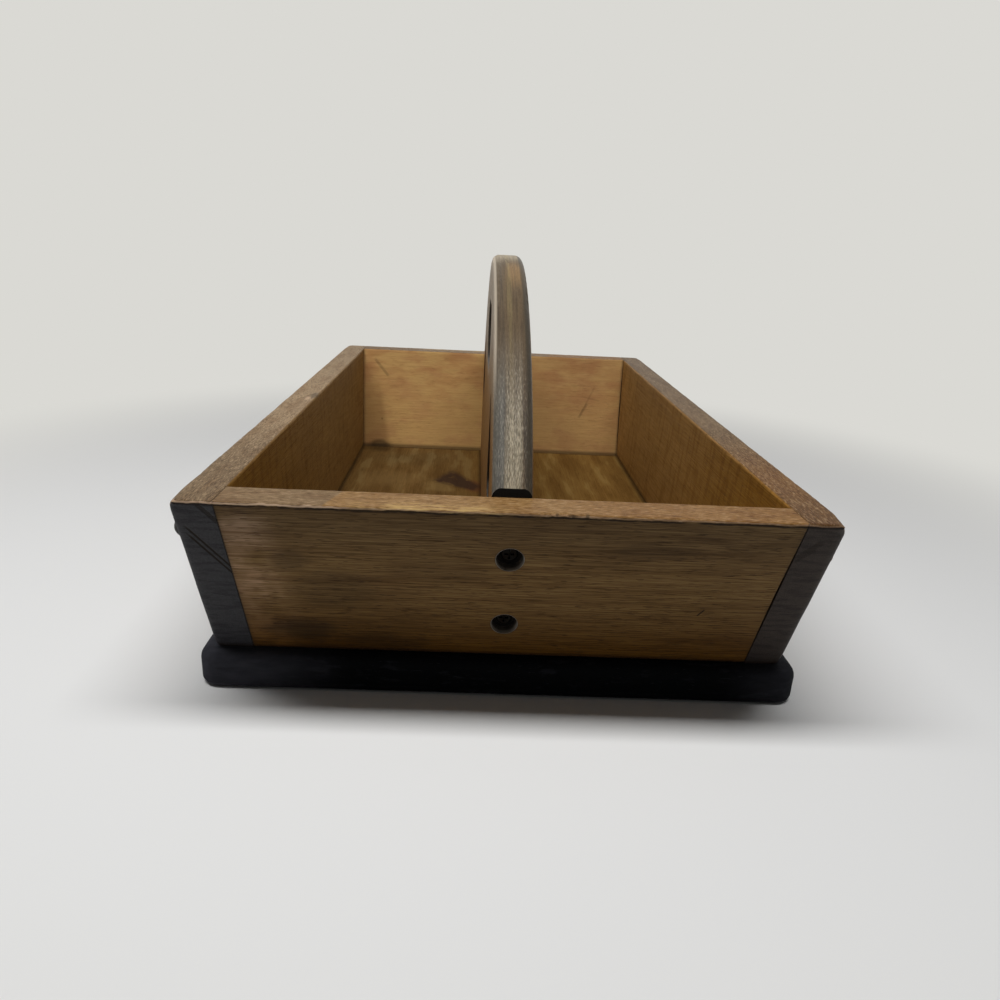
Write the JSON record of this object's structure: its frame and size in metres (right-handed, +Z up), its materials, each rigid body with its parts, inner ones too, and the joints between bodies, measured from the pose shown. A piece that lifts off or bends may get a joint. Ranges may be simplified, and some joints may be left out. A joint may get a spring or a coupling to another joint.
{
  "type": "wooden tool tote",
  "caption": "Shallow wooden carrying tote with splayed ends, an arched handle board down the middle that makes two compartments, and a bullnosed base.",
  "frame": {"origin": "middle of the underside of the base board", "axes": "+Z up, -Y towards the front end board, +X towards the right side board"},
  "size_m": [0.2962, 0.454, 0.2025],
  "materials": {
    "oiled_board": "old oiled softwood, worn",
    "worn_handle": "bare wood, greyed by handling",
    "black_stained_base": "black stain, worn matt",
    "oiled_plug": "dark oiled wood",
    "steel_screw": "dull zinc"
  },
  "bodies": {
    "root": {"base_board": "black_stained_base", "base_screw_front_end_left": "steel_screw", "base_screw_front_end_right": "steel_screw", "base_screw_handle_front": "steel_screw", "base_screw_handle_rear": "steel_screw", "base_screw_left_side_front": "steel_screw", "base_screw_left_side_middle": "steel_screw", "base_screw_left_side_rear": "steel_screw", "base_screw_rear_end_left": "steel_screw", "base_screw_rear_end_right": "steel_screw", "base_screw_right_side_front": "steel_screw", "base_screw_right_side_middle": "steel_screw", "base_screw_right_side_rear": "steel_screw", "corner_plug_front_left": "oiled_plug", "corner_plug_front_right": "oiled_plug", "corner_plug_rear_left": "oiled_plug", "corner_plug_rear_right": "oiled_plug", "corner_screw_front_left": "steel_screw", "corner_screw_front_right": "steel_screw", "corner_screw_rear_left": "steel_screw", "corner_screw_rear_right": "steel_screw", "front_end_board": "oiled_board", "handle_board": "worn_handle", "handle_screw_front_lower": "steel_screw", "handle_screw_front_upper": "steel_screw", "handle_screw_rear_lower": "steel_screw", "handle_screw_rear_upper": "steel_screw", "left_side_board": "oiled_board", "rear_end_board": "oiled_board", "right_side_board": "oiled_board"}
  },
  "joints": []
}
